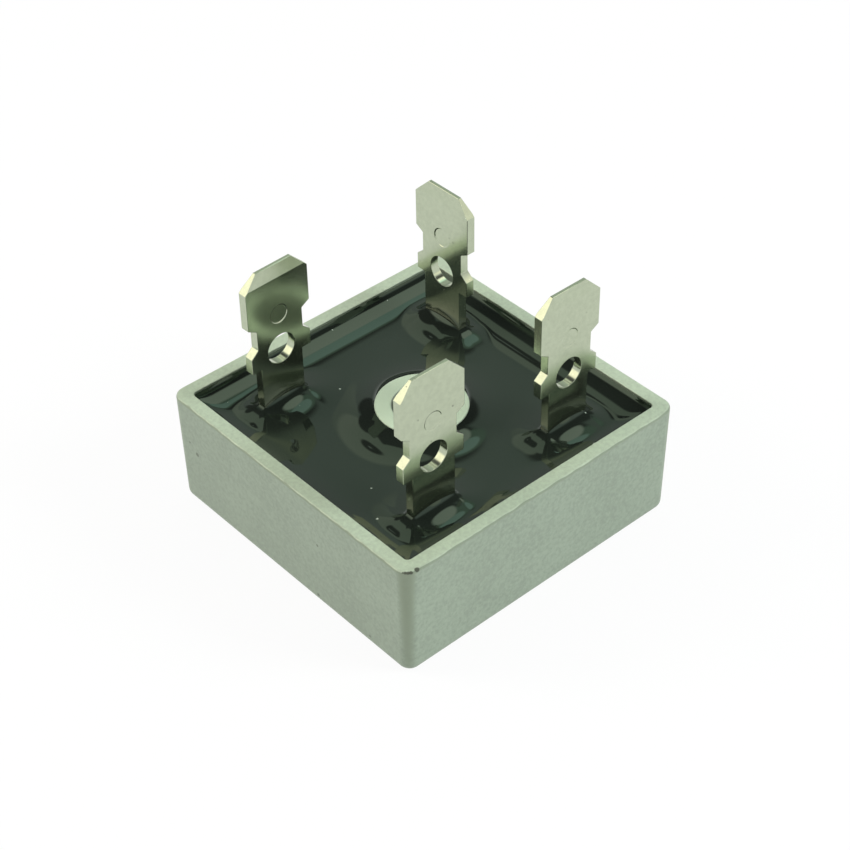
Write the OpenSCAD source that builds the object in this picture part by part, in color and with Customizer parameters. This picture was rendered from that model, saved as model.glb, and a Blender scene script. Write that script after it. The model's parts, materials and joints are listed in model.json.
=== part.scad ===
// Bridge rectifier in a square metal case.
// Four silicon dice lie between copper plates below and copper straps above. Four
// blade terminals stand on the plates and straps, and a black potting compound
// fills the case round them and round a centre boss, which takes the fixing screw.
// The origin is the centre of the case's bottom face. X and Y run along the case's
// sides and Z points up, out of its open top.

/* [Case] */
// Side of the square case at its rim
case_w = 28.5; // [27.5:0.1:32]
// Height of the rim above the base
case_h = 10.7; // [10:0.1:13]
// Thickness of the side walls
wall_t = 1.25; // [1:0.05:1.6]
// Thickness of the floor
floor_t = 2; // [1.5:0.1:2.5]
// Radius of the case's upright outer corners
corner_r = 1.2; // [1:0.1:2.5]
// Radius of the cavity's upright corners
cavity_corner_r = 0.5; // [0.5:0.1:1.5]
// Radius that rounds the case's bottom edge
base_edge_r = 0.85; // [0.3:0.05:0.9]
// How much further out each side stands at the rim than at the base
draft = 0.15; // [0:0.05:0.25]
// Width of the small bevels on the rim and on the boss
rim_bevel = 0.2; // [0.05:0.05:0.3]

/* [Boss] */
// Diameter of the boss at its top
boss_d = 7.6; // [7.2:0.1:8.4]
// How far the boss's top lies below the rim
boss_drop = 0.4; // [0:0.1:0.8]
// Diameter of the hole for the fixing screw
screw_hole_d = 4.8; // [4:0.1:5.4]

/* [Potting] */
// How far the flat middle of the potting lies below the rim
potting_drop = 1.4; // [1.1:0.1:2]
// How high the potting creeps up the walls
wall_creep = 1; // [0.6:0.1:1.1]
// How high the potting creeps up the boss
boss_creep = 0.9; // [0.5:0.1:1]
// How high the potting creeps up the middle of a terminal's faces
leg_creep = 1; // [0.5:0.1:1.1]
// How far from the walls and the boss the potting is flat
bank_reach = 5; // [3:0.1:6]
// How far from a terminal the potting is flat
leg_bank_reach = 3.7; // [2:0.1:5]

/* [Terminals] */
// Height of the terminals' tips above the base
tip_z = 22.9; // [21.5:0.1:25.4]
// Thickness of the terminals' metal
tab_t = 0.8; // [0.6:0.1:1]
// Width of the blade that takes the push-on receptacle
blade_w = 6.2; // [5.6:0.1:6.4]
// Length of the blade, from its tip to the end of its full width
blade_l = 4.7; // [4:0.1:5.5]
// Width of the neck between the blade and the ears
neck_w = 4.6; // [4.2:0.1:5]
// Width across the ears that stop the receptacle
ear_w = 6; // [5.4:0.1:6.4]
// Height of an ear along the terminal
ear_h = 1.45; // [1:0.05:1.8]
// Width of the leg below the ears
leg_w = 4.2; // [3.6:0.1:4.6]
// Diameter of the solder hole
tab_hole_d = 2.7; // [2:0.1:2.9]
// Distance from the tip down to the middle of the solder hole
tab_hole_drop = 7.9; // [7.4:0.1:8.2]
// Distance from the tip down to the ears' square shoulders
ear_drop = 7.55; // [7.4:0.05:7.9]
// Chamfer across each corner of the tip
tip_chamfer = 1.35; // [0.8:0.05:1.6]
// Height of the coined bevel along the tip, on both faces
tip_bevel_h = 1.1; // [0.4:0.1:1.3]
// Depth of that bevel into each face
tip_bevel_d = 0.25; // [0.1:0.05:0.28]
// Distance from the case's side to the middle of a leg's thickness
leg_from_side = 5.35; // [5:0.05:5.6]
// Distance from the case's side to the middle of a leg's width
leg_from_end = 7.05; // [6.75:0.05:7.25]
// Length of the foot, from the leg's outer face to the foot's end
foot_l = 3.2; // [2.8:0.1:3.3]
// Inner radius of the bend between leg and foot
bend_r = 0.6; // [0.4:0.1:0.8]

/* [Inside] */
// Thickness of the insulating plate on the floor
insulator_t = 0.6; // [0.4:0.1:0.8]
// Thickness of the copper plates and straps
copper_t = 0.8; // [0.5:0.1:0.9]
// Side of each square silicon die
die_w = 5; // [4:0.1:5.4]
// Thickness of each die
die_t = 0.3; // [0.25:0.05:0.4]
// Thickness of every solder layer
solder_t = 0.15; // [0.1:0.01:0.2]
// Margin of insulating plate left bare round the copper
creepage = 0.7; // [0.5:0.1:0.9]
// Gap from the boss to the copper round it
boss_gap = 1.3; // [1:0.1:1.4]
// How far a copper arm runs past the middle of its die
arm_past_die = 2.8; // [2.75:0.05:3]

/* [Hidden] */

eps = 0.01;              // overshoot that keeps cut faces apart
beyond = 1;              // how far a cutter runs past what it cuts
round_fn = 96;           // facets of a full turn on true rounds
post_fn = 32;            // facets of a full turn on the hulled corner posts
leg_bank_fn = 24;        // facets of a full turn on the potting's banks round the legs
bank_steps = 8;          // steps of a bank from the metal out to the flat
leg_bank_hold = 0.8;     // share of a leg's width that its bank's crest takes up

half_w = case_w / 2;
cavity_half = half_w - wall_t;                 // at the rim
floor_fillet_r = 0.2;                          // between cavity floor and walls
boss_base_r = boss_d / 2 + draft;              // the boss widens towards the floor
boss_fillet_r = 0.5;                           // between boss and floor
boss_top_z = case_h - boss_drop;
hole_bevel = 0.15;                             // break of the screw hole's edges

// Heights of the stack, from the floor up
insulator_z = floor_t;
plate_z = insulator_z + insulator_t;
lower_solder_z = plate_z + copper_t;
die_z = lower_solder_z + solder_t;
upper_solder_z = die_z + die_t;
strap_z = upper_solder_z + solder_t;
potting_z = case_h - potting_drop;

// Reach of the stack across the floor
plate_clearance = 0.15;                        // insulating plate to the floor's fillet
insulator_half = cavity_half - draft - floor_fillet_r - plate_clearance;
insulator_hole_r = boss_base_r + boss_fillet_r + plate_clearance;
arm_out = insulator_half - creepage;           // outer edge of a copper arm
arm_in = boss_base_r + boss_gap;               // inner edge of a copper arm
arm_w = arm_out - arm_in;
die_at = (arm_out + arm_in) / 2;               // die's distance from the middle
copper_corner_r = 0.5;                         // rounding of the copper's outlines
solder_margin = 0.25;                          // die left bare round its solder

// Heights along a terminal
ear_top_z = tip_z - ear_drop;
ear_shoulder = 0.6;                            // drop of the ear's top, from neck to tip
blade_shoulder = 0.45;                         // rise from the neck to the blade's full width
hole_z = tip_z - tab_hole_drop;
blade_end_z = tip_z - blade_l;
mark_above_hole = 3.35;                        // round press mark on the blade
mark_z = hole_z + mark_above_hole;
mark_r = 0.85;
mark_depth = 0.08;

// A leg's distance from the middle, across its blade and along it
leg_out = half_w - leg_from_side;
leg_along = half_w - leg_from_end;

// One row a terminal: [x, y, turn of its foot about Z, height under its foot].
// The positive blade stands a quarter turn round from the other three. Terminals
// are set by hand in the works, so each also stands a little off its drawn place.
plate_foot_z = plate_z + copper_t;
strap_foot_z = strap_z + copper_t;
LEFT = 0;
RIGHT = 1;
POSITIVE = 2;
NEGATIVE = 3;
PLACES = [
    [-leg_along - 0.1, leg_out - 0.2, 2, plate_foot_z],
    [leg_along - 0.1, -leg_out + 0.1, 180, plate_foot_z],
    [leg_out + 0.3, leg_along + 0.1, -90, strap_foot_z],
    [-leg_along + 0.1, -leg_out - 0.1, 180, strap_foot_z]];

// ---------- helpers ----------

// Rectangle with rounded corners, its middle at the origin
module rounded_rectangle(w, h, r) {
    union() {
        square([w - 2 * r, h], center = true);
        square([w, h - 2 * r], center = true);
        for (x = [-1, 1], y = [-1, 1])
            translate([x * (w / 2 - r), y * (h / 2 - r)])
                circle(r, $fn = round_fn);
    }
}

// Tapered post with a rounded foot: four of them, hulled, make a drafted box
module corner_post(r_top, h, taper, foot_r, bevel) {
    r_foot = r_top - taper;
    rotate_extrude($fn = post_fn)
        polygon(concat(
            [[0, 0]],
            [for (a = [-90:15:0]) [r_foot - foot_r + foot_r * cos(a), foot_r + foot_r * sin(a)]],
            [[r_top, h - bevel], [r_top - bevel, h], [0, h]]));
}

// Box with drafted sides, rounded upright corners and a rounded bottom edge
module drafted_box(half, r, h, taper, foot_r, bevel) {
    hull()
        for (x = [-1, 1], y = [-1, 1])
            translate([x * (half - r), y * (half - r), 0])
                corner_post(r, h, taper, foot_r, bevel);
}

// A bank of potting, from the metal out to the flat, as distances and heights
function bank_distance(i, reach) = reach * pow(i / bank_steps, 2);
function bank_height(i, rise) = rise * pow(1 - pow(i / bank_steps, 2), 3);

// ---------- case ----------

module case_cavity() {
    translate([0, 0, floor_t])
        drafted_box(cavity_half, cavity_corner_r, case_h - floor_t + eps, draft, floor_fillet_r, 0);
}

// Flare that bevels the rim's inner edge
module rim_flare() {
    corner_at = cavity_half - cavity_corner_r;
    translate([0, 0, case_h - rim_bevel])
        hull()
            for (x = [-1, 1], y = [-1, 1])
                translate([x * corner_at, y * corner_at, 0])
                    cylinder(h = rim_bevel + eps, r1 = cavity_corner_r,
                        r2 = cavity_corner_r + rim_bevel + eps, $fn = post_fn);
}

// The boss, solid, with its fillet on the floor
module boss_body() {
    r_top = boss_d / 2;
    z_fillet = floor_t + boss_fillet_r;
    rotate_extrude($fn = round_fn)
        difference() {
            polygon([[0, floor_t - eps], [boss_base_r + boss_fillet_r, floor_t - eps],
                [boss_base_r + boss_fillet_r, z_fillet], [boss_base_r, z_fillet],
                [r_top, boss_top_z - rim_bevel], [r_top - rim_bevel, boss_top_z], [0, boss_top_z]]);
            translate([boss_base_r + boss_fillet_r, z_fillet])
                circle(boss_fillet_r, $fn = round_fn);
        }
}

module screw_hole() {
    r = screw_hole_d / 2;
    translate([0, 0, -beyond])
        cylinder(h = boss_top_z + 2 * beyond, r = r, $fn = round_fn);
    translate([0, 0, -eps])
        cylinder(h = hole_bevel + eps, r1 = r + hole_bevel + eps, r2 = r, $fn = round_fn);
    translate([0, 0, boss_top_z - hole_bevel])
        cylinder(h = hole_bevel + eps, r1 = r, r2 = r + hole_bevel + eps, $fn = round_fn);
}

module case() {
    color([0.66, 0.7, 0.64])
        difference() {
            union() {
                difference() {
                    drafted_box(half_w, corner_r, case_h, draft, base_edge_r, rim_bevel);
                    case_cavity();
                    rim_flare();
                }
                boss_body();
            }
            screw_hole();
        }
}

// ---------- the stack on the floor ----------

module insulating_plate() {
    color([0.93, 0.92, 0.88])
        translate([0, 0, insulator_z])
            difference() {
                linear_extrude(insulator_t)
                    rounded_rectangle(2 * insulator_half, 2 * insulator_half, copper_corner_r);
                translate([0, 0, -beyond])
                    cylinder(h = insulator_t + 2 * beyond, r = insulator_hole_r, $fn = round_fn);
            }
}

// L of two equal arms round the corner at -X +Y: each arm ends just past its die
module copper_corner(z) {
    arm_l = arm_out + arm_past_die;
    translate([0, 0, z])
        linear_extrude(copper_t)
            union() {
                translate([-arm_out + arm_l / 2, die_at])
                    rounded_rectangle(arm_l, arm_w, copper_corner_r);
                translate([-die_at, arm_out - arm_l / 2])
                    rounded_rectangle(arm_w, arm_l, copper_corner_r);
            }
}

module ac_plate(turn) {
    color([0.8, 0.5, 0.32])
        rotate(turn)
            copper_corner(plate_z);
}

module strap(turn) {
    color([0.78, 0.48, 0.3])
        rotate(turn)
            copper_corner(strap_z);
}

// The dice stand at the middle of the case's four sides
module at_die(i) {
    rotate(90 * i)
        translate([0, die_at, 0])
            children();
}

module silicon_die(i) {
    color([0.35, 0.36, 0.4])
        at_die(i)
            translate([-die_w / 2, -die_w / 2, die_z])
                cube([die_w, die_w, die_t]);
}

module die_solder(i, z) {
    pad = die_w - 2 * solder_margin;
    color([0.72, 0.73, 0.75])
        at_die(i)
            translate([-pad / 2, -pad / 2, z])
                cube([pad, pad, solder_t]);
}

// ---------- terminals ----------

module at_terminal(i) {
    translate([PLACES[i][0], PLACES[i][1], 0])
        rotate(PLACES[i][2])
            children();
}

// Right-hand half of the flat outline, from the leg up to the tip: [half width, z]
function half_outline(z_low) = [
    [leg_w / 2, z_low],
    [leg_w / 2, ear_top_z - ear_h],
    [ear_w / 2, ear_top_z - ear_h],
    [ear_w / 2, ear_top_z],
    [neck_w / 2, ear_top_z + ear_shoulder],
    [neck_w / 2, blade_end_z - blade_shoulder],
    [blade_w / 2, blade_end_z],
    [blade_w / 2, tip_z - tip_chamfer],
    [blade_w / 2 - tip_chamfer, tip_z]];

module flat_strip(z_low) {
    right = half_outline(z_low);
    left = [for (i = [len(right) - 1:-1:0]) [-right[i][0], right[i][1]]];
    translate([0, tab_t / 2, 0])
        rotate([90, 0, 0])
            linear_extrude(tab_t)
                polygon(concat(right, left));
}

// Side view of the bend and the foot, which points to -Y: x is Y, y is height
module foot_profile() {
    r_out = bend_r + tab_t;
    y_bend = -tab_t / 2 - bend_r;
    union() {
        intersection() {
            translate([y_bend, r_out])
                difference() {
                    circle(r_out, $fn = round_fn);
                    circle(bend_r, $fn = round_fn);
                }
            translate([y_bend, 0])
                square([r_out, r_out]);
        }
        translate([tab_t / 2 - foot_l, 0])
            square([foot_l - r_out, tab_t]);
    }
}

// Wedge that coins the tip of one face
module tip_wedge() {
    translate([-blade_w / 2 - beyond, 0, 0])
        rotate([90, 0, 90])
            linear_extrude(blade_w + 2 * beyond)
                polygon([[tab_t / 2 - tip_bevel_d, tip_z], [tab_t / 2, tip_z - tip_bevel_h],
                    [tab_t / 2 + beyond, tip_z - tip_bevel_h], [tab_t / 2 + beyond, tip_z + beyond],
                    [tab_t / 2 - tip_bevel_d, tip_z + beyond]]);
}

// Shallow round press mark on one face
module press_mark() {
    r_ball = (mark_r * mark_r + mark_depth * mark_depth) / (2 * mark_depth);
    translate([0, tab_t / 2 + r_ball - mark_depth, mark_z])
        sphere(r_ball, $fn = round_fn);
}

// Terminal in its own place: blade in the XZ plane, foot to -Y, its underside at foot_z
module terminal_blank(foot_z) {
    difference() {
        union() {
            flat_strip(foot_z + bend_r + tab_t);
            translate([-leg_w / 2, 0, foot_z])
                rotate([90, 0, 90])
                    linear_extrude(leg_w)
                        foot_profile();
        }
        translate([0, 0, hole_z])
            rotate([90, 0, 0])
                cylinder(h = tab_t + 2 * beyond, d = tab_hole_d, center = true, $fn = round_fn);
        for (side = [0, 1])
            mirror([0, side, 0]) {
                tip_wedge();
                press_mark();
            }
    }
}

module terminal(i) {
    color([0.74, 0.75, 0.68])
        at_terminal(i)
            terminal_blank(PLACES[i][3] + solder_t);
}

module terminal_solder(i) {
    pad_l = foot_l - bend_r - tab_t;
    color([0.72, 0.73, 0.75])
        at_terminal(i)
            translate([-leg_w / 2, tab_t / 2 - foot_l, PLACES[i][3]])
                cube([leg_w, pad_l, solder_t]);
}

// ---------- potting ----------

// Ellipse round one leg at one height of its bank: tightest at the crest, so the bank
// stands highest at the middle of the leg's faces and falls off towards its edges
function leg_bank_ring(i) =
    let (d = bank_distance(i, leg_bank_reach), z = bank_height(i, leg_creep))
    let (along = leg_bank_hold * leg_w / 2 + d, across = tab_t / 2 + d)
    [for (k = [0:leg_bank_fn - 1])
        let (turn = 360 * k / leg_bank_fn)
        [along * cos(turn), across * sin(turn), z]];

// The rings from the crest out to the flat, and a last one below the flat
module leg_bank() {
    n = leg_bank_fn;
    flat_ring = leg_bank_ring(bank_steps);
    sunk_ring = [for (p = flat_ring) [p.x, p.y, -beyond]];
    rings = concat([for (i = [0:bank_steps]) leg_bank_ring(i)], [sunk_ring]);
    skin = [for (i = [0:bank_steps], k = [0:n - 1])
        [i * n + k, i * n + (k + 1) % n, (i + 1) * n + (k + 1) % n, (i + 1) * n + k]];
    crest = [for (k = [n - 1:-1:0]) k];
    bottom = [for (k = [0:n - 1]) (bank_steps + 1) * n + k];
    translate([0, 0, potting_z])
        polyhedron([for (ring = rings, p = ring) p], concat([crest], skin, [bottom]));
}

module boss_bank() {
    r = boss_d / 2;
    translate([0, 0, potting_z])
        rotate_extrude($fn = round_fn)
            polygon(concat(
                [[0, -beyond], [r + bank_reach, -beyond]],
                [for (i = [bank_steps:-1:0])
                    [r + bank_distance(i, bank_reach), bank_height(i, boss_creep)]],
                [[0, boss_creep]]));
}

// Side view of the space between two opposite walls' banks
module well_profile(half, h) {
    bank = [for (i = [0:bank_steps])
        [cavity_half - bank_distance(i, bank_reach), bank_height(i, wall_creep)]];
    side = concat([[half, h], [half, wall_creep]], bank);
    polygon(concat(side, [for (i = [len(side) - 1:-1:0]) [-side[i].x, side[i].y]]));
}

// Free space above the potting: it dips to potting_z and curves up at the walls
module free_space() {
    wall_overlap = 0.15;
    half = cavity_half + wall_overlap;
    top = case_h - potting_z + beyond;
    difference() {
        intersection() {
            translate([0, half, potting_z])
                rotate([90, 0, 0])
                    linear_extrude(2 * half)
                        well_profile(half, top);
            translate([-half, 0, potting_z])
                rotate([90, 0, 90])
                    linear_extrude(2 * half)
                        well_profile(half, top);
        }
        boss_bank();
        for (i = [LEFT:NEGATIVE])
            at_terminal(i)
                leg_bank();
    }
}

module inside_parts() {
    insulating_plate();
    ac_plate(0);
    ac_plate(180);
    strap(-90);
    strap(90);
    for (i = [0:3]) {
        silicon_die(i);
        die_solder(i, lower_solder_z);
        die_solder(i, upper_solder_z);
        terminal(i);
        terminal_solder(i);
    }
}

module potting_compound() {
    color([0.13, 0.15, 0.13])
        difference() {
            case_cavity();
            free_space();
            boss_body();
            inside_parts();
        }
}

case();
insulating_plate();
ac_plate(0);  // ac_plate_left
ac_plate(180);  // ac_plate_right
strap(-90);  // positive_strap
strap(90);  // negative_strap
for (i = [0:3]) {
    silicon_die(i);
    die_solder(i, lower_solder_z);
    die_solder(i, upper_solder_z);
    terminal_solder(i);
}
terminal(LEFT);  // ac_terminal_left
terminal(RIGHT);  // ac_terminal_right
terminal(POSITIVE);  // positive_terminal
terminal(NEGATIVE);  // negative_terminal
potting_compound();
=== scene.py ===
# %% [markdown]
# # Bridge rectifier in a square metal case
# A bridge rectifier turns alternating current into direct current. Four silicon dice
# sit in a small aluminium tray, black resin fills the tray round them, and four plated
# blades stand up out of the resin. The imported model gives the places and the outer
# sizes. What a box can't tell, such as a wall's thickness, is written here once, and
# each piece gets its finished surface. Lengths are in metres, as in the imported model,
# so a value in millimetres is written with MM after it.

# %% Load the fixed frame
import json
import math

import bmesh
import bpy
from mathutils import Matrix, Vector


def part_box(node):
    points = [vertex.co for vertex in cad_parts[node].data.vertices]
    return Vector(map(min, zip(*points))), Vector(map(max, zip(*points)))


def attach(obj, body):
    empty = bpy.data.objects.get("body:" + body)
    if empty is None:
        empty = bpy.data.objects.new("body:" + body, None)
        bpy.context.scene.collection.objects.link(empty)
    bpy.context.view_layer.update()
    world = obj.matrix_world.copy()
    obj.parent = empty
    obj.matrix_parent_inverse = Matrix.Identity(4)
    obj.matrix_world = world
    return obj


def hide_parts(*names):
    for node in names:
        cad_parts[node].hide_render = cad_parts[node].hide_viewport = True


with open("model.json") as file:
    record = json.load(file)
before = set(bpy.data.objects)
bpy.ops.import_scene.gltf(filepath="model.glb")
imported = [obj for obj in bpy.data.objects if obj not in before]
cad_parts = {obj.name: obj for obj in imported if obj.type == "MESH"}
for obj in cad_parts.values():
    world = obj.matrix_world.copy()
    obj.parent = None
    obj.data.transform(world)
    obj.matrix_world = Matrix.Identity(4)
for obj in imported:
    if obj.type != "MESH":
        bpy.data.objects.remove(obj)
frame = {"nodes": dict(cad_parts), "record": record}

MM = 0.001


def in_mm(lengths, digits=2):
    return [round(length / MM, digits) for length in lengths]


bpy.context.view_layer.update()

# %% [markdown]
# ## Helpers for meshes
# A bmesh is Blender's editable mesh. Each piece is shaped in one, then written into a
# mesh whose object stays at the origin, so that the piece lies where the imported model
# has it. Flat faces beside small roundings would shade as if they were bent, so each
# piece gets a Weighted Normal modifier, which lets the large faces set the shading.

# %% Turn a bmesh into a piece
def finished_piece(name, bm, node, sharp_above=35):
    bmesh.ops.recalc_face_normals(bm, faces=bm.faces[:])
    open_edges = [e for e in bm.edges if not e.is_manifold]
    mesh = bpy.data.meshes.new(name)
    bm.to_mesh(mesh)
    bm.free()
    mesh.shade_smooth()
    mesh.set_sharp_from_angle(angle=math.radians(sharp_above))
    piece = bpy.data.objects.new(name, mesh)
    bpy.context.scene.collection.objects.link(piece)
    weighted = piece.modifiers.new("Flat faces lead", "WEIGHTED_NORMAL")
    weighted.keep_sharp = True
    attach(piece, "root")
    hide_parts(node)
    print(name, "has", len(mesh.polygons), "faces and", len(open_edges), "open edges")
    return piece


def edges_of(verts):
    """Every edge that meets one of the points."""
    return list({e for v in verts for e in v.link_edges})


def only(kind, geom):
    """The points, edges or faces out of the mixed list that an operator gives back."""
    return [g for g in geom if isinstance(g, kind)]


# %% [markdown]
# ## The case
# The case is one pressed and tumbled aluminium tray: a square with drafted sides, an
# open top, and a round boss in the middle that takes the fixing screw. It could be cut
# from a cube with booleans, but those leave no clean roundings. Here it is a loft: a
# closed path of rings, each joined to the next, that goes from the screw hole's foot
# across the base, up the sides, over the rim, down into the cavity, across the floor
# and up the boss. Each ring is a circle whose quarters are pushed out to the corners,
# so all rings hold their points in the same order. The bridge operator pairs points by
# itself and pairs them wrongly between rings that differ this much in shape, so the
# faces between two rings are made point by point.

# %% Sizes of the case
case_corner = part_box("case")[1]
CASE_HALF = case_corner.x
CASE_H = case_corner.z
WALL = 1.25 * MM
FLOOR = 2.0 * MM
CORNER_R = 1.2 * MM
CAVITY_CORNER_R = 0.4 * MM
BASE_EDGE_R = 0.85 * MM
DRAFT = 0.15 * MM
RIM_EDGE = 0.2 * MM
RIM_INNER_EDGE = 0.08 * MM
BOSS_EDGE = 0.08 * MM
FLOOR_FILLET = 0.2 * MM
BOSS_R = 3.8 * MM
BOSS_TOP = CASE_H - 0.4 * MM
BOSS_FILLET = 0.5 * MM
HOLE_R = 2.4 * MM
HOLE_EDGE = 0.15 * MM
CAVITY_HALF = CASE_HALF - WALL
QUARTER_POINTS = 16     # points on a quarter of a ring
BASE_STEPS = 8          # rings round the base's large edge
FILLET_STEPS = 5        # rings round a fillet
EDGE_STEPS = 3          # rings round a small edge
print("case side, height and half the cavity:", in_mm((2 * CASE_HALF, CASE_H, CAVITY_HALF)), "mm")


# %% One ring, and the arcs between rings
def square_ring(bm, half, r, z):
    """A circle of radius r with its quarters pushed out to a square of that half width."""
    points = 4 * QUARTER_POINTS
    half_step = math.pi / points
    turn = Matrix.Rotation(half_step, 3, "Z")
    verts = bmesh.ops.create_circle(bm, segments=points, radius=r / math.cos(half_step))["verts"]
    bmesh.ops.rotate(bm, verts=verts, matrix=turn)
    for v in verts:
        v.co.x += math.copysign(half - r, v.co.x)
        v.co.y += math.copysign(half - r, v.co.y)
        v.co.z = z
    return verts


def quarter_arc(steps, start, turn=90):
    """Cosine and sine at even steps of an arc, from a starting angle in degrees."""
    angles = [math.radians(start + turn * i / steps) for i in range(steps + 1)]
    return [(math.cos(a), math.sin(a)) for a in angles]


# %% The path of rings, as (half width, corner radius, height)
def case_path():
    path = [(HOLE_R, HOLE_R, HOLE_EDGE), (HOLE_R + HOLE_EDGE, HOLE_R + HOLE_EDGE, 0)]
    foot_half, foot_r = CASE_HALF - DRAFT - BASE_EDGE_R, CORNER_R - DRAFT - BASE_EDGE_R
    for c, s in quarter_arc(BASE_STEPS, -90):
        path.append((foot_half + BASE_EDGE_R * c, foot_r + BASE_EDGE_R * c, BASE_EDGE_R + BASE_EDGE_R * s))
    for c, s in quarter_arc(EDGE_STEPS, 0):
        inset = RIM_EDGE * (1 - c)
        path.append((CASE_HALF - inset, CORNER_R - inset, CASE_H - RIM_EDGE * (1 - s)))
    for c, s in quarter_arc(EDGE_STEPS, 90, -90):
        flare = RIM_INNER_EDGE * (1 - c)
        path.append((CAVITY_HALF + flare, CAVITY_CORNER_R + flare, CASE_H - RIM_INNER_EDGE * (1 - s)))
    low_half, low_r = CAVITY_HALF - DRAFT - FLOOR_FILLET, CAVITY_CORNER_R - DRAFT - FLOOR_FILLET
    for c, s in quarter_arc(FILLET_STEPS, 0, -90):
        path.append((low_half + FLOOR_FILLET * c, low_r + FLOOR_FILLET * c, FLOOR + FLOOR_FILLET * (1 + s)))
    boss_low = BOSS_R + DRAFT
    for c, s in quarter_arc(FILLET_STEPS, -90, -90):
        r = boss_low + BOSS_FILLET * (1 + c)
        path.append((r, r, FLOOR + BOSS_FILLET * (1 + s)))
    for c, s in quarter_arc(EDGE_STEPS, 0):
        r = BOSS_R - BOSS_EDGE * (1 - c)
        path.append((r, r, BOSS_TOP - BOSS_EDGE * (1 - s)))
    path += [(HOLE_R + HOLE_EDGE, HOLE_R + HOLE_EDGE, BOSS_TOP), (HOLE_R, HOLE_R, BOSS_TOP - HOLE_EDGE)]
    return path


# %% Skin the rings into the case
def make_case():
    bm = bmesh.new()
    rings = [square_ring(bm, *row) for row in case_path()]
    for near, far in zip(rings, rings[1:] + rings[:1]):
        for i in range(len(near)):
            bm.faces.new((near[i - 1], near[i], far[i], far[i - 1]))
    return finished_piece("case_shell", bm, "case")


case = make_case()

# %% [markdown]
# ## The blade terminals
# Each terminal is punched from 0.8 mm plated strip: a blade with clipped corners and a
# coined tip, a narrower neck, two ears that stop the push-on receptacle, a round solder
# hole, a shallow round press mark on each face, and a leg that bends into a foot under
# the resin. It could be built from boxes, but a punched part starts as a flat outline,
# so this one does too: the outline is filled, extruded to the strip's thickness, coined
# at its tip, pressed, bent by a spin and broken at its edges by a bevel. The places of
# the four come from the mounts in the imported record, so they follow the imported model.

# %% Sizes of a terminal
STRIP = 0.8 * MM
TIP_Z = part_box("ac_terminal_right")[1].z
BLADE_HALF = 3.1 * MM
NECK_HALF = 2.3 * MM
EAR_HALF = 3.0 * MM
LEG_HALF = 2.1 * MM
BLADE_END = TIP_Z - 4.7 * MM
EAR_TOP = TIP_Z - 7.55 * MM
EAR_H = 1.45 * MM
EAR_RISE = 0.6 * MM
BLADE_RISE = 0.45 * MM
TIP_CLIP = 1.35 * MM
COIN_H = 1.1 * MM
COIN_DEPTH = 0.25 * MM
MARK_R = 0.85 * MM
MARK_Z = TIP_Z - 4.55 * MM
MARK_DEPTH = 0.055 * MM
BEND_R = 0.6 * MM
FOOT_L = 3.2 * MM
EDGE_R = 0.06 * MM
NEAR = EDGE_R / 10      # points this near to a height lie on it
WELD = EDGE_R / 100     # points this near to each other are one
HOLE_POINTS = 48
MARK_POINTS = 32
MARK_SLOPE = 1.4        # depth of a press mark's side against its width
BEND_STEPS = 10
SHARP_EDGE = 25         # degrees from which an edge is broken by the bevel
COIN_CREASE = 11        # degrees from which a crease stays crisp, as the coined tip's does
HOLE_NAME = "_solder_hole"
SOLDER_HOLES = {m["name"].removesuffix(HOLE_NAME): m for m in frame["record"]["mounts"]
                if m["name"].endswith(HOLE_NAME)}
print("tips at", in_mm([TIP_Z]), "mm; solder holes:", sorted(SOLDER_HOLES))


# %% The punched outline, filled
def half_outline(low):
    """The right half of the outline as (x, z), from the leg's low end up to the tip."""
    return [(LEG_HALF, low), (LEG_HALF, EAR_TOP - EAR_H), (EAR_HALF, EAR_TOP - EAR_H), (EAR_HALF, EAR_TOP),
            (NECK_HALF, EAR_TOP + EAR_RISE), (NECK_HALF, BLADE_END - BLADE_RISE), (BLADE_HALF, BLADE_END),
            (BLADE_HALF, TIP_Z - TIP_CLIP), (BLADE_HALF - TIP_CLIP, TIP_Z)]


def upright_circle(bm, r, z, segments, filled=False):
    upright = Matrix.Translation((0, 0, z)) @ Matrix.Rotation(math.pi / 2, 4, "X")
    return bmesh.ops.create_circle(bm, segments=segments, radius=r, cap_ends=filled, matrix=upright)["verts"]


def punched_strip(low, hole_z, hole_r):
    bm = bmesh.new()
    right = half_outline(low)
    corners = right + [(-x, z) for x, z in reversed(right)]
    verts = [bm.verts.new((x, 0, z)) for x, z in corners]
    rim = [bm.edges.new(pair) for pair in zip(verts, verts[1:] + verts[:1])]
    rim += edges_of(upright_circle(bm, hole_r, hole_z, HOLE_POINTS))
    rim += edges_of(upright_circle(bm, MARK_R, MARK_Z, MARK_POINTS))
    bmesh.ops.triangle_fill(bm, edges=rim, use_beauty=True, use_dissolve=False)
    upright_circle(bm, MARK_R, MARK_Z, MARK_POINTS, filled=True)
    bmesh.ops.remove_doubles(bm, verts=bm.verts[:], dist=WELD)
    return bm


# %% Thicken the sheet, coin its tip and press its marks
def thicken(bm):
    sheet = bm.faces[:]
    grown = bmesh.ops.extrude_face_region(bm, geom=sheet)["geom"]
    bmesh.ops.translate(bm, verts=only(bmesh.types.BMVert, grown), vec=(0, STRIP, 0))
    bmesh.ops.translate(bm, verts=bm.verts[:], vec=(0, -STRIP / 2, 0))
    bmesh.ops.recalc_face_normals(bm, faces=bm.faces[:])


def coin_tip(bm):
    """Cuts across where the coining starts and thins the strip evenly from there up."""
    low = TIP_Z - COIN_H
    bmesh.ops.bisect_plane(bm, geom=bm.verts[:] + bm.edges[:] + bm.faces[:], dist=WELD,
                           plane_co=(0, 0, low), plane_no=(0, 0, 1))
    for v in bm.verts:
        if v.co.z > low:
            v.co.y -= math.copysign(COIN_DEPTH * (v.co.z - low) / COIN_H, v.co.y)


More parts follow.
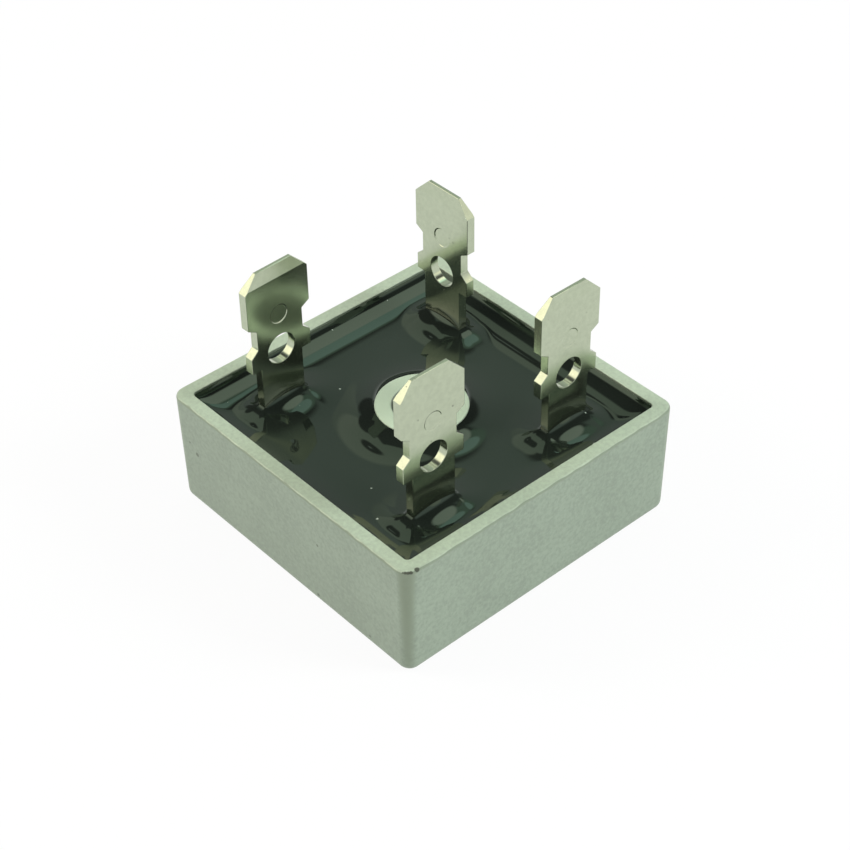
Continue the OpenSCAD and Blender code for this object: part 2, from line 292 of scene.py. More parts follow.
def press_marks(bm):
    marks = [f for f in bm.faces if len(f.verts) == MARK_POINTS]
    bmesh.ops.inset_individual(bm, faces=marks, thickness=MARK_DEPTH / MARK_SLOPE, depth=-MARK_DEPTH)


def join_flat_faces(bm):
    """Joins the triangles of each flat face, so that the large face leads the shading."""
    bmesh.ops.dissolve_limit(bm, angle_limit=math.radians(1), verts=bm.verts[:], edges=bm.edges[:])


# %% Bend the foot and break the edges
def bend_foot(bm, low):
    """Spins the low end through a quarter turn and runs it on as the foot."""
    end = [f for f in bm.faces if all(abs(v.co.z - low) < NEAR for v in f.verts)]
    geom = end + list({e for f in end for e in f.edges}) + list({v for f in end for v in f.verts})
    cent = (0, -STRIP / 2 - BEND_R, low)
    last = bmesh.ops.spin(bm, geom=geom, cent=cent, axis=(1, 0, 0), angle=-math.pi / 2, steps=BEND_STEPS,
                          use_merge=False, use_duplicate=False)["geom_last"]
    foot = bmesh.ops.extrude_face_region(bm, geom=only(bmesh.types.BMFace, last))["geom"]
    run = FOOT_L - STRIP - BEND_R
    bmesh.ops.translate(bm, verts=only(bmesh.types.BMVert, foot), vec=(0, -run, 0))
    inner = [f for f in bm.faces if not any(e.is_manifold for e in f.edges)]
    bmesh.ops.delete(bm, geom=inner, context="FACES")


def break_edges(bm):
    creased = math.radians(SHARP_EDGE)
    sharp = [e for e in bm.edges if len(e.link_faces) == 2 and e.calc_face_angle() > creased]
    bmesh.ops.bevel(bm, geom=sharp, offset=EDGE_R, offset_type="OFFSET", segments=2, profile=0.5,
                    affect="EDGES", clamp_overlap=True, material=-1)


# %% Make the four terminals
def make_terminal(name, node, mount):
    low_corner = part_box(node)[0]
    centre, outward = Vector(mount["pos_m"]), Vector(mount["axis"])
    low = low_corner.z + BEND_R + STRIP
    bm = punched_strip(low, centre.z, mount["dims"]["r_mm"] * MM)
    thicken(bm)
    coin_tip(bm)
    press_marks(bm)
    join_flat_faces(bm)
    bend_foot(bm, low)
    break_edges(bm)
    turn = math.atan2(outward.y, outward.x) - math.pi / 2
    place = Matrix.Translation((centre.x, centre.y, 0)) @ Matrix.Rotation(turn, 4, "Z")
    bmesh.ops.transform(bm, matrix=place, verts=bm.verts[:])
    return finished_piece(name, bm, node, sharp_above=COIN_CREASE)


TERMINALS = [("left_blade", "ac_terminal_left", "ac_left"),
             ("right_blade", "ac_terminal_right", "ac_right"),
             ("back_blade", "positive_terminal", "positive"),
             ("front_blade", "negative_terminal", "negative")]
terminals = [make_terminal(name, node, SOLDER_HOLES[mount]) for name, node, mount in TERMINALS]

# %% [markdown]
# ## The potting
# The tray is filled with liquid resin, which creeps up every wall before it sets. That
# rim of creep, the meniscus, is what the eye reads on such a part: broad and gentle in
# the open, steep where it touches metal. Here it stands a little lower at the two walls
# towards -X and -Y. The surface could be sculpted by hand, but the rise only depends on
# the distance to the metal. So a fine grid is laid over the cavity, its lines are drawn
# to the outlines of boss and legs, and every point is lifted by the creep of each wall,
# the boss and each leg.

# %% Distances from the metal, in the plane of the resin
POTTING_Z = CASE_H - 1.4 * MM
leg_frames = []
for _, _, mount in TERMINALS:
    at, out = Vector(SOLDER_HOLES[mount]["pos_m"]), Vector(SOLDER_HOLES[mount]["axis"])
    leg_frames.append((at.x, at.y, out.x, out.y))
print("resin's flat at", in_mm([POTTING_Z]), "mm, legs at", [in_mm(leg[:2]) for leg in leg_frames])


def leg_distance(x, y, leg):
    """Signed distance to one leg's outline, and the leg's nearest point."""
    cx, cy, ox, oy = leg
    dx, dy = x - cx, y - cy
    along, across = dx * oy - dy * ox, dx * ox + dy * oy
    near_u = min(max(along, -LEG_HALF), LEG_HALF)
    near_v = min(max(across, -STRIP / 2), STRIP / 2)
    if near_u == along and near_v == across:
        gaps = (LEG_HALF - abs(along), STRIP / 2 - abs(across))
        if gaps[0] < gaps[1]:
            near_u = math.copysign(LEG_HALF, along)
        else:
            near_v = math.copysign(STRIP / 2, across)
        signed = -min(gaps)
    else:
        signed = math.hypot(along - near_u, across - near_v)
    return signed, cx + near_u * oy + near_v * ox, cy - near_u * ox + near_v * oy


def boss_distance(x, y):
    r = math.hypot(x, y)
    if r == 0:
        return -BOSS_R, BOSS_R, 0
    return r - BOSS_R, x * BOSS_R / r, y * BOSS_R / r


# %% Creep of the resin up the metal
# Rise and spread of the broad bank, then rise and spread of the steep lip, in mm
FAR_WALL_CREEP = (1.0, 2.4, 0.17, 0.2)
NEAR_WALL_CREEP = (0.65, 1.8, 0.17, 0.2)
BOSS_CREEP = (0.78, 2.25, 0.085, 0.3)
LEG_CREEP = (0.8, 2.4, 0.25, 0.35)
LEG_CORNER_DROP = 0.3   # share of a leg's creep that is gone at its corners
BLEND_POWER = 4         # how sharply the highest creep wins where two meet


def creep(distance, sizes):
    """A broad bank that runs out into the flat, and a steep lip against the metal."""
    rise, spread, lip, lip_spread = (size * MM for size in sizes)
    d = max(distance, 0)
    return rise * math.erfc(d / spread) + lip * math.exp(-d / lip_spread)


def leg_creep(x, y, leg):
    """The resin climbs highest at the middle of a leg's face and less at its corners."""
    signed, near_x, near_y = leg_distance(x, y, leg)
    off_middle = math.hypot(near_x - leg[0], near_y - leg[1]) / LEG_HALF
    return creep(signed, LEG_CREEP) * (1 - LEG_CORNER_DROP * min(off_middle, 1) ** 2)


def resin_height(x, y):
    """The highest creep wins, with a smooth change where two are alike."""
    lifts = [creep(CAVITY_HALF - side, FAR_WALL_CREEP) for side in (x, y)]
    lifts += [creep(CAVITY_HALF + side, NEAR_WALL_CREEP) for side in (x, y)]
    lifts.append(creep(boss_distance(x, y)[0], BOSS_CREEP))
    lifts += [leg_creep(x, y, leg) for leg in leg_frames]
    return POTTING_Z + sum(lift ** BLEND_POWER for lift in lifts) ** (1 / BLEND_POWER)


print("resin at a far wall and at a near one:",
      in_mm((resin_height(CAVITY_HALF, 0), resin_height(-CAVITY_HALF, 0))), "mm")


# %% Lay the grid, fit it to the cavity's corners and draw it to the outlines
GRID = 240              # squares of the grid along a side


def fit_to_corners(bm):
    inner = CAVITY_HALF - CAVITY_CORNER_R
    for v in bm.verts:
        u, w = abs(v.co.x) - inner, abs(v.co.y) - inner
        if u > 0 and w > 0:
            shrink = max(u, w) / math.hypot(u, w)
            v.co.x = math.copysign(inner + u * shrink, v.co.x)
            v.co.y = math.copysign(inner + w * shrink, v.co.y)


def draw_to(bm, outline, reach):
    drawn = []
    for v in bm.verts:
        signed, near_x, near_y = outline(v.co.x, v.co.y)
        if abs(signed) < reach:
            v.co.x, v.co.y = near_x, near_y
            drawn.append(v)
    bmesh.ops.connect_verts(bm, verts=drawn)
    margin = reach / 50
    inside = [f for f in bm.faces if outline(*f.calc_center_median().xy)[0] < -margin]
    bmesh.ops.delete(bm, geom=inside, context="FACES")


def make_potting():
    bm = bmesh.new()
    bmesh.ops.create_grid(bm, x_segments=GRID, y_segments=GRID, size=CAVITY_HALF)
    fit_to_corners(bm)
    half_pitch = CAVITY_HALF / GRID
    draw_to(bm, boss_distance, half_pitch)
    for leg in leg_frames:
        draw_to(bm, lambda x, y: leg_distance(x, y, leg), half_pitch)
    for v in bm.verts:
        v.co.z = resin_height(v.co.x, v.co.y)
    edge = [e for e in bm.edges if e.is_boundary]
    skirt = bmesh.ops.extrude_edge_only(bm, edges=edge)["geom"]
    for v in only(bmesh.types.BMVert, skirt):
        v.co.z = FLOOR + FLOOR_FILLET
    low = [e for e in only(bmesh.types.BMEdge, skirt) if e.is_boundary]
    bmesh.ops.triangle_fill(bm, edges=low, use_beauty=True, use_dissolve=False)
    return finished_piece("resin_fill", bm, "potting_compound")


potting = make_potting()

# %% [markdown]
# ## Shader building blocks
# Every surface here is built from nodes that work on Object coordinates, so nothing is
# painted by hand. Effects that several finishes share are node groups with named
# inputs: fine grain, scattered specks and slow waves. Each group puts out a value, and
# each material uses it with its own numbers.

# %% Small helpers that add and wire nodes
def add(tree, kind, settings=None, **sockets):
    made = tree.nodes.new(kind)
    for key, value in (settings or {}).items():
        setattr(made, key, value)
    for key, value in sockets.items():
        feed(tree, made.inputs[key.replace("_", " ")], value)
    return made


def feed(tree, socket, value):
    if isinstance(value, bpy.types.NodeSocket):
        tree.links.new(value, socket)
    else:
        socket.default_value = value


def calculate(tree, operation, *values):
    made = tree.nodes.new("ShaderNodeMath")
    made.operation = operation
    for socket, value in zip(made.inputs, values):
        feed(tree, socket, value)
    return made.outputs[0]


def remap(tree, value, low, high, to_low=0.0, to_high=1.0):
    """Turns the range low to high into the new range, with soft ends."""
    made = add(tree, "ShaderNodeMapRange", {"interpolation_type": "SMOOTHSTEP"}, Value=value, From_Min=low,
               From_Max=high, To_Min=to_low, To_Max=to_high)
    return made.outputs["Result"]


def blend_colours(tree, factor, first, second):
    made = tree.nodes.new("ShaderNodeMix")
    made.data_type = "RGBA"
    feed(tree, made.inputs["Factor"], factor)
    feed(tree, made.inputs["A"], (*first, 1) if isinstance(first, tuple) else first)
    feed(tree, made.inputs["B"], (*second, 1) if isinstance(second, tuple) else second)
    return made.outputs["Result"]


# %% Effect groups
SMALLEST_SPECK = 0.4    # of the given size; the largest is one whole size more
SPECK_CORE = 0.6        # share of a speck's radius that is full strength


def new_group(name, inputs, output):
    group = bpy.data.node_groups.new(name, "ShaderNodeTree")
    group.interface.new_socket(name="Vector", in_out="INPUT", socket_type="NodeSocketVector")
    for key, value in inputs.items():
        socket = group.interface.new_socket(name=key, in_out="INPUT", socket_type="NodeSocketFloat")
        socket.default_value = value
    group.interface.new_socket(name=output, in_out="OUTPUT", socket_type="NodeSocketFloat")
    return group, group.nodes.new("NodeGroupInput").outputs, group.nodes.new("NodeGroupOutput").inputs


def fine_grain_group():
    group, given, out = new_group("Fine grain", {"Scale": 4000.0, "Detail": 2.0}, "Grain")
    noise = add(group, "ShaderNodeTexNoise", Vector=given["Vector"], Scale=given["Scale"],
                Detail=given["Detail"], Roughness=0.6)
    group.links.new(noise.outputs["Fac"], out["Grain"])
    return group


def specks_group():
    """Round spots of mixed sizes in a share of the cells, fading at their rims."""
    group, given, out = new_group("Scattered specks", {"Scale": 500.0, "Size": 0.1, "Share": 0.3}, "Mask")
    cells = add(group, "ShaderNodeTexVoronoi", Vector=given["Vector"], Scale=given["Scale"])
    pick = add(group, "ShaderNodeSeparateColor", Color=cells.outputs["Color"])
    chosen = calculate(group, "LESS_THAN", pick.outputs["Red"], given["Share"])
    share = calculate(group, "ADD", pick.outputs["Green"], SMALLEST_SPECK)
    size = calculate(group, "MULTIPLY", given["Size"], share)
    inner = calculate(group, "MULTIPLY", size, SPECK_CORE)
    spot = remap(group, cells.outputs["Distance"], inner, size, 1.0, 0.0)
    feed(group, out["Mask"], calculate(group, "MULTIPLY", spot, chosen))
    return group


def slow_wave_group():
    group, given, out = new_group("Slow waves", {"Scale": 100.0}, "Wave")
    noise = add(group, "ShaderNodeTexNoise", Vector=given["Vector"], Scale=given["Scale"],
                Detail=1.0, Roughness=0.4)
    group.links.new(noise.outputs["Fac"], out["Wave"])
    return group


GRAIN, SPECKS, WAVES = fine_grain_group(), specks_group(), slow_wave_group()
print("effect groups:", [g.name for g in (GRAIN, SPECKS, WAVES)])


# %% Use an effect, start a material, add a bump
def effect(tree, group, vector, **values):
    made = add(tree, "ShaderNodeGroup", {"node_tree": group}, Vector=vector, **values)
    return made.outputs[0]


def new_material(name, preview):
    material = bpy.data.materials.new(name)
    material.use_nodes = True
    material.diffuse_color = (*preview, 1)
    tree = material.node_tree
    surface = tree.nodes["Principled BSDF"]
    place = tree.nodes.new("ShaderNodeTexCoord").outputs["Object"]
    return material, tree, surface, place


def bump(tree, surface, height, strength, distance):
    made = add(tree, "ShaderNodeBump", Height=height, Strength=strength, Distance=distance)
    tree.links.new(made.outputs["Normal"], surface.inputs["Normal"])


# %% [markdown]
# ## The case's aluminium
# Tumbling leaves the tray matt and very finely mottled, with a few small dark pits. The
# rim's top is painted lighter, as painted light from above, and the boss's top lighter
# still. Painted shade makes a thin darker line under the rim's outer edge and darkens the
# four upright corners, and the corner at -X -Y has a small chipped spot. A painted
# texture could hold all this, but the tray would have to be unwrapped for it. Here noise
# sets the mottle, and the place on the piece sets where each tone begins.

# %% Tumbled aluminium
ALUMINIUM = (0.31, 0.37, 0.29)
# Painted light on the rim's top, as if lit from above
PAINTED_RIM_LIGHT = (0.55, 0.64, 0.49)
# Painted shade for the upright corners and the line under the rim's outer edge
PAINTED_SHADE_TONE = (0.27, 0.32, 0.235)
PAINTED_BOSS_LIGHT = (0.72, 0.85, 0.65)
# Painted light on the boss's top, lighter still than the rim
PIT = (0.07, 0.075, 0.055)
# Heights from the rim over which its painted light and the painted shade line under it set in
RIM_LIGHT_FROM, RIM_LIGHT_TO = -0.02 * MM, 0.03 * MM
SHADE_LINE_FROM, SHADE_LINE_TO = -0.24 * MM, -0.12 * MM
RIM_WOBBLE = 0.12 * MM
# How far inside the square's tip the painted shade of the upright corners sets in
CORNER_SHADE_FROM, CORNER_SHADE_TO = 1.1 * MM, 0.75 * MM
# Chipped spots along the rim at the corner towards -X -Y: x, y and size in mm
CHIPS = [(-14.07, -13.69, 0.13), (-13.94, -13.85, 0.17), (-13.79, -14.0, 0.2),
         (-13.6, -14.12, 0.2), (-13.05, -14.15, 0.23)]
CHIP_CORE, CHIP_EDGE = 0.9, 1.3     # of a chip's size: where it starts to fade and ends
CHIP_RAGGED = 0.4                   # of a chip's size: how far the mottle moves its outline
CHIP_STRENGTH = 0.9
SHADE_LINE_STRENGTH = 0.8
PIT_STRENGTH = 0.6
# The printed height is where the rim's painted light begins
print("rim painted lighter from", in_mm([CASE_H + RIM_LIGHT_FROM]), "mm up;", len(CHIPS), "chipped spots")


# %% Tones that depend on the place
def shaded(colour, factor):
    return tuple(channel * factor for channel in colour)


def chipped(tree, place, mottle, colour):
    """Darkens the colour at each chipped spot, with the mottle in its outline."""
    for x, y, size in CHIPS:
        off = add(tree, "ShaderNodeVectorMath", {"operation": "DISTANCE"})
        feed(tree, off.inputs[0], place)
        feed(tree, off.inputs[1], (x * MM, y * MM, CASE_H))
        reach = calculate(tree, "MULTIPLY_ADD", mottle, CHIP_RAGGED * size * MM, off.outputs["Value"])
        spot = remap(tree, reach, CHIP_CORE * size * MM, CHIP_EDGE * size * MM, CHIP_STRENGTH, 0.0)
        colour = blend_colours(tree, spot, colour, PIT)
    return colour


def on_boss_top(tree, place, height):
    from_axis = add(tree, "ShaderNodeVectorMath", {"operation": "MULTIPLY"})
    feed(tree, from_axis.inputs[0], place)
    feed(tree, from_axis.inputs[1], (1, 1, 0))
    radius = add(tree, "ShaderNodeVectorMath", {"operation": "LENGTH"}, Vector=from_axis.outputs["Vector"])
    near_axis = calculate(tree, "LESS_THAN", radius.outputs["Value"], BOSS_R + BOSS_EDGE)
    high_up = calculate(tree, "GREATER_THAN", height, BOSS_TOP - BOSS_EDGE)
    return calculate(tree, "MULTIPLY", near_axis, high_up)


# Mask for the painted shade on the four upright corners
def upright_corner_shade(tree, place):
    outward = add(tree, "ShaderNodeVectorMath", {"operation": "ABSOLUTE"}, Vector=place)
    sides = add(tree, "ShaderNodeSeparateXYZ", Vector=outward.outputs["Vector"]).outputs
    reach = calculate(tree, "ADD", sides["X"], sides["Y"])
    return remap(tree, reach, 2 * CASE_HALF - CORNER_SHADE_FROM, 2 * CASE_HALF - CORNER_SHADE_TO)


# %% The case's material
def case_material():
    material, tree, surface, place = new_material("Tumbled aluminium", ALUMINIUM)
    height = add(tree, "ShaderNodeSeparateXYZ", Vector=place).outputs["Z"]
    mottle = effect(tree, GRAIN, place, Scale=3000.0, Detail=3.0)
    cloud = effect(tree, WAVES, place, Scale=220.0)
    wobble = calculate(tree, "MULTIPLY_ADD", effect(tree, WAVES, place, Scale=900.0), RIM_WOBBLE, height)
    # Painted light: the band at the rim's top is painted lighter, as if lit from above
    rim = remap(tree, wobble, CASE_H + RIM_LIGHT_FROM, CASE_H + RIM_LIGHT_TO)
    # The band under the rim's outer edge that gets painted shade
    edge = remap(tree, wobble, CASE_H + SHADE_LINE_FROM, CASE_H + SHADE_LINE_TO)
    shade = calculate(tree, "MULTIPLY_ADD", mottle, 0.5, calculate(tree, "MULTIPLY", cloud, 0.12))
    tone = remap(tree, shade, 0.18, 0.44)
    colour = blend_colours(tree, tone, shaded(ALUMINIUM, 0.86), shaded(ALUMINIUM, 1.12))
    # Painted shade on the upright corners and in a thin line under the rim's outer edge
    colour = blend_colours(tree, upright_corner_shade(tree, place), colour, PAINTED_SHADE_TONE)
    colour = blend_colours(tree, calculate(tree, "MULTIPLY", edge, SHADE_LINE_STRENGTH), colour, PAINTED_SHADE_TONE)
    lit_rim_tone = blend_colours(tree, tone, shaded(PAINTED_RIM_LIGHT, 0.89), shaded(PAINTED_RIM_LIGHT, 1.08))
    colour = blend_colours(tree, rim, colour, lit_rim_tone)
    # Painted light: the boss's top is painted lighter still
    colour = blend_colours(tree, on_boss_top(tree, place, height), colour, PAINTED_BOSS_LIGHT)
    pits = effect(tree, SPECKS, place, Scale=420.0, Size=0.09, Share=0.25)
    colour = blend_colours(tree, calculate(tree, "MULTIPLY", pits, PIT_STRENGTH), colour, PIT)
    feed(tree, surface.inputs["Base Color"], chipped(tree, place, mottle, colour))
    surface.inputs["Metallic"].default_value = 0.45
    feed(tree, surface.inputs["Roughness"], remap(tree, mottle, 0.3, 0.7, to_low=0.46, to_high=0.56))
    bump(tree, surface, mottle, strength=0.25, distance=0.02 * MM)
    return material


case.data.materials.append(case_material())
print(case.name, "is finished as", case.data.materials[0].name)

# %% [markdown]
# ## The terminals' plating
# The blades are plated after punching: smooth, pale and warm, mirror-like but a little
# rolled, so what they reflect is soft and slightly bent. The waves could be cut into
# the mesh, but its large flat faces hold no points that could be moved, so here they
# only turn the normal. A few fine marks keep the faces from looking like glass.

# %% Plated strip
PLATING = (0.455, 0.51, 0.375)
FINE_MARK = (0.14, 0.15, 0.11)
FINE_MARK_STRENGTH = 0.7


def plating_material():
    material, tree, surface, place = new_material("Plated strip", PLATING)
    roll = effect(tree, WAVES, place, Scale=260.0)
    marks = effect(tree, SPECKS, place, Scale=1500.0, Size=0.12, Share=0.25)
    stain = effect(tree, GRAIN, place, Scale=2200.0, Detail=3.0)
    tone = remap(tree, stain, 0.3, 0.7)
    colour = blend_colours(tree, tone, shaded(PLATING, 0.97), shaded(PLATING, 1.05))
    colour = blend_colours(tree, calculate(tree, "MULTIPLY", marks, FINE_MARK_STRENGTH), colour, FINE_MARK)
    feed(tree, surface.inputs["Base Color"], colour)
    surface.inputs["Metallic"].default_value = 0.985
    feed(tree, surface.inputs["Roughness"], remap(tree, roll, 0.3, 0.7, to_low=0.15, to_high=0.2))
    bump(tree, surface, roll, strength=0.6, distance=0.05 * MM)
    return material


plating = plating_material()
for piece in terminals:
    piece.data.materials.append(plating)
print(plating.name, "is on", [piece.name for piece in terminals])

# %% [markdown]
# ## The resin
# Cured potting resin is near black and glossy. All its tone comes from what it reflects,
# so its own colour is almost nothing and a slight green tint lies on the reflection. A
# little dust lies on it. Grains could be scattered as meshes, but at this size pale
# specks that are rougher than the resin look the same.

# %% Black resin
RESIN = (0.010, 0.013, 0.010)
DUST = (0.4, 0.45, 0.38)
RESIN_ROUGHNESS = 0.03
DUST_ROUGHNESS = 0.6    # added to the resin's where dust lies


def resin_material():
    material, tree, surface, place = new_material("Black resin", RESIN)
    dust = effect(tree, SPECKS, place, Scale=1000.0, Size=0.09, Share=0.2)
    colour = blend_colours(tree, dust, RESIN, DUST)
    feed(tree, surface.inputs["Base Color"], colour)
    roughness = calculate(tree, "MULTIPLY_ADD", dust, DUST_ROUGHNESS, RESIN_ROUGHNESS)
    feed(tree, surface.inputs["Roughness"], roughness)
    surface.inputs["IOR"].default_value = 1.52
    surface.inputs["Specular Tint"].default_value = (0.72, 1.0, 0.78, 1)
    bump(tree, surface, effect(tree, WAVES, place, Scale=180.0), strength=0.3, distance=0.05 * MM)
    return material


potting.data.materials.append(resin_material())
print(potting.name, "is finished as", potting.data.materials[0].name)

# %% [markdown]
# ## Inside the resin
# The ceramic plate, the copper, the dice and the solder can't be seen once the tray is
# filled. They could be modelled again, but their shapes are right as packed, so they
# stay, and each gets the finish that it has on the bench before the resin is poured.

# %% Ceramic, copper, silicon and solder
ROUGHNESS_SPREAD = 0.12


def plain_finish(name, colour, second, scale, metallic, rough, height):
    material, tree, surface, place = new_material(name, colour)
    grain = effect(tree, GRAIN, place, Scale=scale, Detail=3.0)
    tone = remap(tree, grain, 0.35, 0.65)
    feed(tree, surface.inputs["Base Color"], blend_colours(tree, tone, colour, second))
    roughness = remap(tree, grain, 0.3, 0.7, to_low=rough, to_high=rough + ROUGHNESS_SPREAD)
    feed(tree, surface.inputs["Roughness"], roughness)
    surface.inputs["Metallic"].default_value = metallic
    bump(tree, surface, grain, strength=0.4, distance=height)
    return material


FINISHES = {
    "insulating_plate": plain_finish("Alumina plate", (0.86, 0.85, 0.80), (0.78, 0.77, 0.72),
                                     scale=6000.0, metallic=0.0, rough=0.55, height=0.01 * MM),
    "copper": plain_finish("Copper sheet", (0.72, 0.36, 0.22), (0.60, 0.28, 0.17),
                           scale=1500.0, metallic=1.0, rough=0.30, height=0.01 * MM),
    "silicon": plain_finish("Silicon die", (0.10, 0.11, 0.14), (0.13, 0.14, 0.17),
                            scale=2500.0, metallic=0.6, rough=0.18, height=0.004 * MM),
    "solder": plain_finish("Soft solder", (0.52, 0.53, 0.54), (0.44, 0.45, 0.46),
                           scale=1800.0, metallic=1.0, rough=0.32, height=0.02 * MM)}


# %% Give each inner piece its finish
def finish_of(node):
    if "solder" in node:
        return FINISHES["solder"]
    if node.startswith("silicon"):
        return FINISHES["silicon"]
    return FINISHES.get(node, FINISHES["copper"])


inner_nodes = [n for n, o in frame["nodes"].items() if not o.hide_render]
for node in inner_nodes:
    for material_slot in frame["nodes"][node].material_slots:
        material_slot.material = finish_of(node)
print("finished inside the resin:", len(inner_nodes), "nodes")

# %% [markdown]
# ## The floor
# The part lies on a white sheet. A plain white material would come out grey where the
# light is weak, and a glowing one would have no shadow. So the sheet is both: it glows
# white for the eye and for reflections, with a little matt paper left in it that keeps
# a faint shadow, and it is all paper for the soft light that it throws on the part.

# %% A white floor
FLOOR_HALF = 1.5
PAPER = (0.9, 0.9, 0.9, 1)
GLOW_SHARE = 0.93


def floor_material():
    material = bpy.data.materials.new("White sheet")
    material.use_nodes = True
    tree = material.node_tree
    tree.nodes.remove(tree.nodes["Principled BSDF"])
    paper = add(tree, "ShaderNodeBsdfDiffuse", Color=PAPER)
    white = add(tree, "ShaderNodeEmission", Color=(1, 1, 1, 1), Strength=1.0)
    ray = tree.nodes.new("ShaderNodeLightPath").outputs
    mirrored = calculate(tree, "MAXIMUM", ray["Is Glossy Ray"], ray["Is Transmission Ray"])
    seen = calculate(tree, "MAXIMUM", ray["Is Camera Ray"], mirrored)
    mixed = add(tree, "ShaderNodeMixShader", Fac=calculate(tree, "MULTIPLY", seen, GLOW_SHARE))
    tree.links.new(paper.outputs[0], mixed.inputs[1])
    tree.links.new(white.outputs[0], mixed.inputs[2])
    tree.links.new(mixed.outputs[0], tree.nodes["Material Output"].inputs["Surface"])
    return material


def make_floor():
    bm = bmesh.new()
    bmesh.ops.create_grid(bm, x_segments=1, y_segments=1, size=FLOOR_HALF)
    mesh = bpy.data.meshes.new("sheet")
    bm.to_mesh(mesh)
    bm.free()
    mesh.materials.append(floor_material())
    sheet = bpy.data.objects.new("sheet", mesh)
    bpy.context.scene.collection.objects.link(sheet)
    print("floor is", 2 * FLOOR_HALF, "m wide")


make_floor()

# %% [markdown]
# ## The light tent
# Matt metal only needs soft light, which pale walls and two broad lamps give; the walls
# are dim behind the camera. Glossy resin and plated blades need something to mirror, or
# they look flat. Cards and a room could be modelled round the part, but the world can
# show them without a mesh: Light Path tells glossy rays from the rest, and they see
# white walls with one dark opening behind the part, a backdrop that hangs in it, and
# round patches with soft edges in and beside it, some bright and some dark. The eye
# sees plain white, and the lamps show in no reflection. Each direction is an azimuth
# and an elevation in degrees.

# %% Directions, and soft-edged patches round them
def direction(azimuth, elevation):
    a, e = math.radians(azimuth), math.radians(elevation)
    return Vector((math.cos(a) * math.cos(e), math.sin(a) * math.cos(e), math.sin(e)))


def along(tree, ray, aim):
    """How far a ray points along the aim: the cosine of the angle between them."""
    dot = add(tree, "ShaderNodeVectorMath", {"operation": "DOT_PRODUCT"})
    feed(tree, dot.inputs[0], ray)
    feed(tree, dot.inputs[1], tuple(aim))
    return dot.outputs["Value"]


def toward(tree, ray, azimuth, elevation, inner, outer):
    """1 within inner degrees of the direction, 0 beyond outer degrees."""
    near = along(tree, ray, direction(azimuth, elevation))
    return remap(tree, near, math.cos(math.radians(outer)), math.cos(math.radians(inner)))


# %% What hangs in the tent
WHITE = (1.0, 1.0, 1.0)
ROOM_COLOUR = (0.09, 0.09, 0.09)
BACKDROP_TINT = (0.9, 1.0, 0.92)
TENT_LIGHT = (0.7, 0.7, 0.7)
DIM_LIGHT = (0.08, 0.08, 0.08)
BACKDROP_AZIMUTH = 60
# Sines of the angles at which the backdrop's sides and its top edge fade out
BACKDROP_SIDES = (0.55, 0.63)
BACKDROP_TOP = (0.72, 0.78)
# The backdrop grows lighter from one sine of elevation to the other
BACKDROP_RISE = (-0.1, 0.75)
BACKDROP_LEVELS = (0.22, 0.64)
# Azimuth, elevation, and the inner and outer radius of the soft edge, in degrees
DARK_ROOM = (49, 58, 48, 58)
DIM_SIDE = (-131, 20, 35, 65)
# The same four, then the colour; a later patch covers an earlier one
PATCHES_IN_ROOM = [
    (66, 37, 7.5, 9.5, (0.7, 0.76, 0.66)),
    (64, 63, 8, 10, (1.05, 1.08, 0.92)),
    (72, 49, 11.5, 13.5, (1.05, 1.08, 0.92)),
    (67.5, 52.3, 3, 4.5, (0.06, 0.06, 0.06)),
    (67, 52, 0.3, 0.9, (0.9, 0.9, 0.85)),
    (22, 57, 9, 12, (0.62, 0.82, 0.66)),
    (2, 60, 6.8, 10, (2.15, 2.1, 1.9)),
    (26.5, 56, 5, 6.5, (1.35, 1.75, 1.62)),
    (84, 22, 11, 14, (0.08, 0.08, 0.08)),
    (95, 38, 13, 15, (0.08, 0.08, 0.08))]
PATCHES_BESIDE = [
    (138, 30, 16, 24, (2.15, 1.95, 1.7)),
    (-52, 35, 5, 8, (1.6, 1.5, 1.3))]


def backdrop(tree, ray):
    """The sheet hung behind the part: brighter towards its top edge, in front of a dark room."""
    sideways = along(tree, ray, direction(BACKDROP_AZIMUTH + 90, 0))
    rise = add(tree, "ShaderNodeSeparateXYZ", Vector=ray).outputs["Z"]
    width = remap(tree, calculate(tree, "ABSOLUTE", sideways), *BACKDROP_SIDES, to_low=1.0, to_high=0.0)
    top_edge = remap(tree, rise, *BACKDROP_TOP, to_low=1.0, to_high=0.0)
    level = remap(tree, rise, *BACKDROP_RISE, *BACKDROP_LEVELS)
    return calculate(tree, "MULTIPLY", level, calculate(tree, "MULTIPLY", width, top_edge))


def hang(tree, ray, patches, behind):
    for *place, colour in patches:
        behind = blend_colours(tree, toward(tree, ray, *place), behind, colour)
    return behind


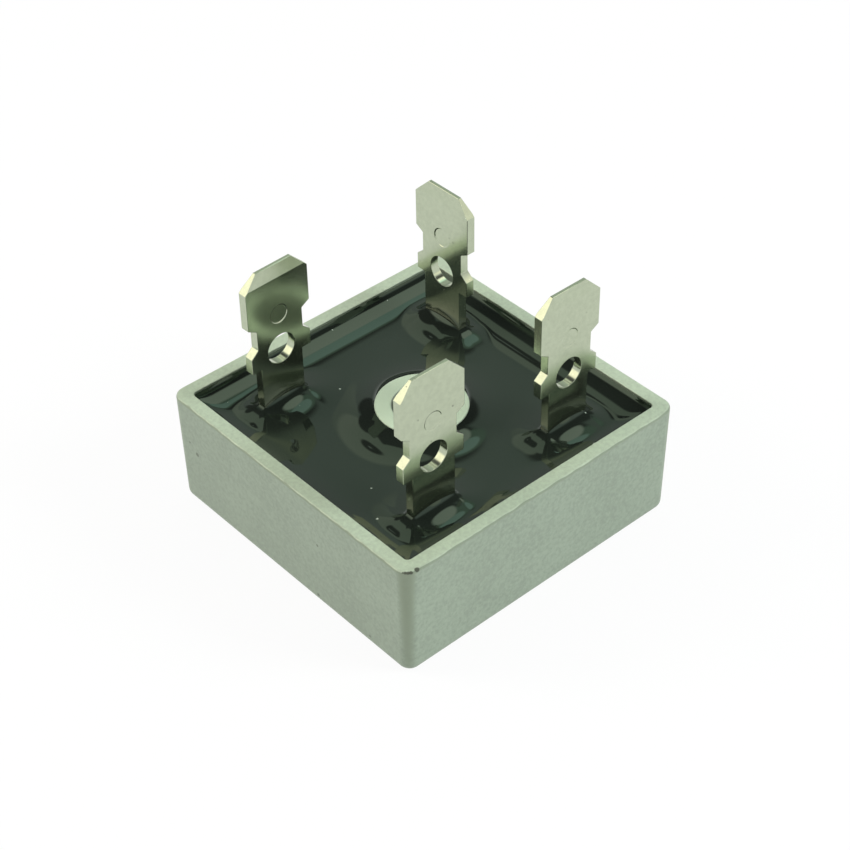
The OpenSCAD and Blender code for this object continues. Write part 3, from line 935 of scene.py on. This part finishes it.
# %% The tent as a world
def make_tent():
    world = bpy.data.worlds.new("Light tent")
    bpy.context.scene.world = world
    world.use_nodes = True
    tree = world.node_tree
    ray = tree.nodes.new("ShaderNodeTexCoord").outputs["Generated"]
    path = tree.nodes.new("ShaderNodeLightPath").outputs
    room = blend_colours(tree, backdrop(tree, ray), ROOM_COLOUR, BACKDROP_TINT)
    room = hang(tree, ray, PATCHES_IN_ROOM, room)
    studio = blend_colours(tree, toward(tree, ray, *DARK_ROOM), WHITE, room)
    studio = hang(tree, ray, PATCHES_BESIDE, studio)
    around = blend_colours(tree, toward(tree, ray, *DIM_SIDE), TENT_LIGHT, DIM_LIGHT)
    plain = blend_colours(tree, path["Is Diffuse Ray"], WHITE, around)
    colour = blend_colours(tree, path["Is Glossy Ray"], plain, studio)
    feed(tree, tree.nodes["Background"].inputs["Color"], colour)
    tree.nodes["Background"].inputs["Strength"].default_value = 1.0
    print("tent:", len(PATCHES_IN_ROOM), "patches in the dark room,", len(PATCHES_BESIDE), "beside it")


make_tent()


# %% Two broad lamps
def make_lamp(name, azimuth, elevation, colour, watts, radius=80 * MM, away=400 * MM):
    data = bpy.data.lights.new(name, "AREA")
    data.shape = "DISK"
    data.size = 2 * radius
    data.color = colour
    data.energy = watts
    lamp = bpy.data.objects.new(name, data)
    aim = direction(azimuth, elevation)
    lamp.matrix_world = Matrix.Translation(aim * away) @ aim.to_track_quat("Z", "Y").to_matrix().to_4x4()
    lamp.visible_glossy = False
    bpy.context.scene.collection.objects.link(lamp)
    print(name, "of", watts, "W")


make_lamp("Left lamp", azimuth=134, elevation=33, colour=(1.0, 0.97, 0.88), watts=0.8)
make_lamp("Right lamp", azimuth=-52, elevation=34, colour=(0.9, 1.0, 0.98), watts=1.12)

# %% [markdown]
# ## The camera
# The part is looked at from above one corner with a fairly long lens, near enough that
# the far side comes out a little smaller. A Track To constraint could aim the camera,
# but a matrix also takes the slight roll: the camera stands at a distance from its aim,
# turns to it, and rolls.

# %% The camera
AIM = Vector((-0.593, -1.021, 9.0)) * MM
CAMERA_FROM = direction(-131.11, 40.32)
CAMERA_AWAY = 159.57 * MM
CAMERA_ROLL = math.radians(-1.04)
LENS = 84.95


def make_camera():
    data = bpy.data.cameras.new("View")
    data.lens = LENS
    data.sensor_width = 36
    data.clip_start, data.clip_end = 0.01, 10
    camera = bpy.data.objects.new("View", data)
    bpy.context.scene.collection.objects.link(camera)
    level = (-CAMERA_FROM).to_track_quat("-Z", "Y").to_matrix()
    turned = level @ Matrix.Rotation(CAMERA_ROLL, 3, "Z")
    camera.matrix_world = Matrix.Translation(AIM + CAMERA_FROM * CAMERA_AWAY) @ turned.to_4x4()
    bpy.context.scene.camera = camera
    print("camera stands", in_mm([CAMERA_AWAY]), "mm from its aim")


make_camera()
bpy.context.scene.view_settings.view_transform = "Standard"
